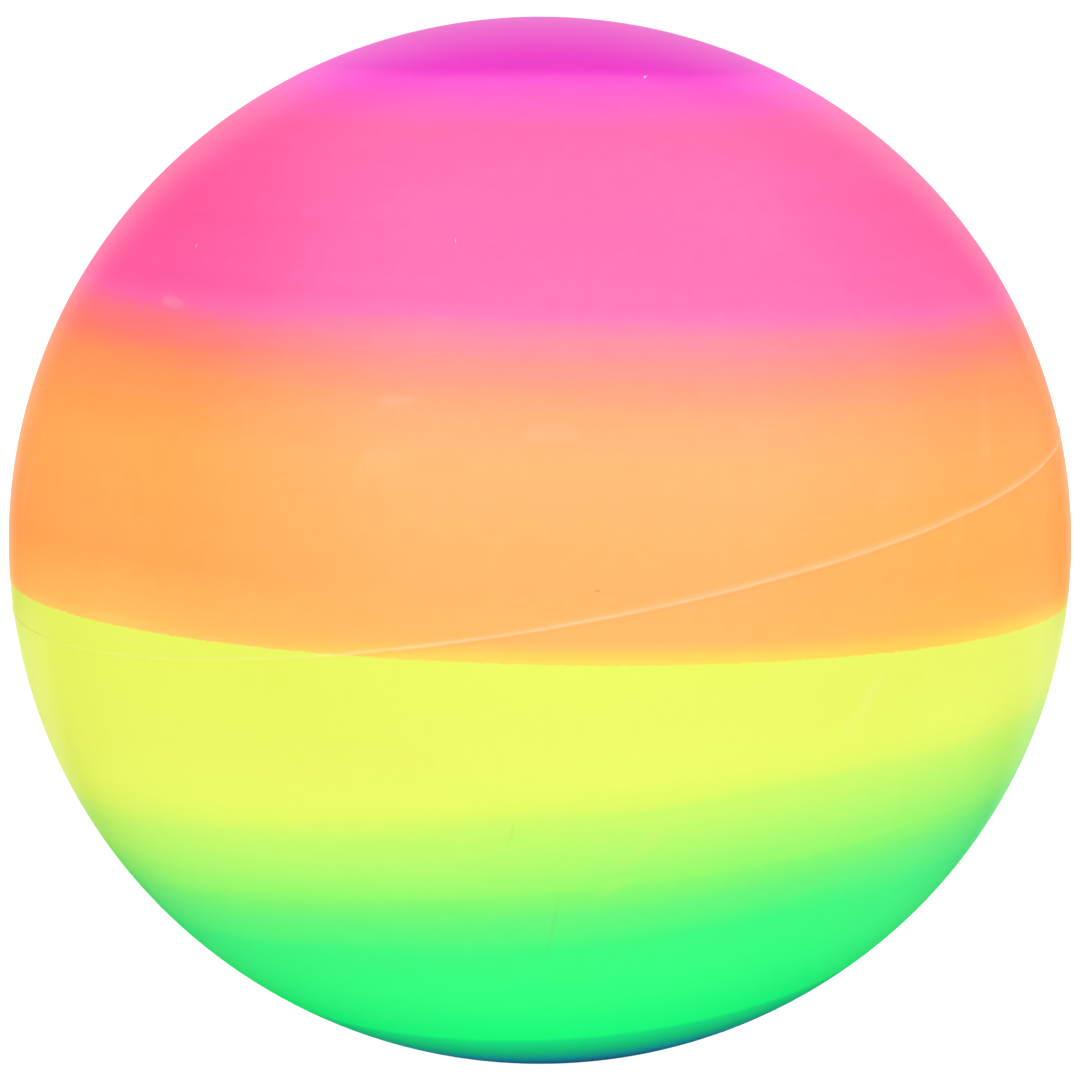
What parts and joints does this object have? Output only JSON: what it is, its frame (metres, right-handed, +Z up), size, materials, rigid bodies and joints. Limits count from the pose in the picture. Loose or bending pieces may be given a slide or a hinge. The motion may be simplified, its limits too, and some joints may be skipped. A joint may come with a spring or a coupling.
{
  "type": "inflatable play ball",
  "caption": "Inflatable one-piece vinyl play ball with sprayed rainbow bands, a slanting mould line and a pull-out valve plug that takes an inflating needle.",
  "frame": {"origin": "the centre of the ball's bounding box, which is the centre of the ball itself", "axes": "+Z up along the ball's short axis as it stands, -Y towards the viewer of the side with the front of the mould line, +X to that viewer's right"},
  "size_m": [0.229, 0.2292, 0.2256],
  "materials": {
    "sprayed_vinyl": "satin",
    "bare_vinyl": "satin",
    "plug_rubber": "matte"
  },
  "bodies": {
    "ball": {"ball_skin": "sprayed_vinyl", "valve_sleeve": "bare_vinyl"},
    "plug": {"valve_plug": "plug_rubber"}
  },
  "joints": [
    {"name": "valve_plug_pull", "type": "slide", "parent": "ball", "child": "plug", "axis": [-0.6783, 0.3308, 0.6561], "range_m": [0, 0.02]}
  ]
}
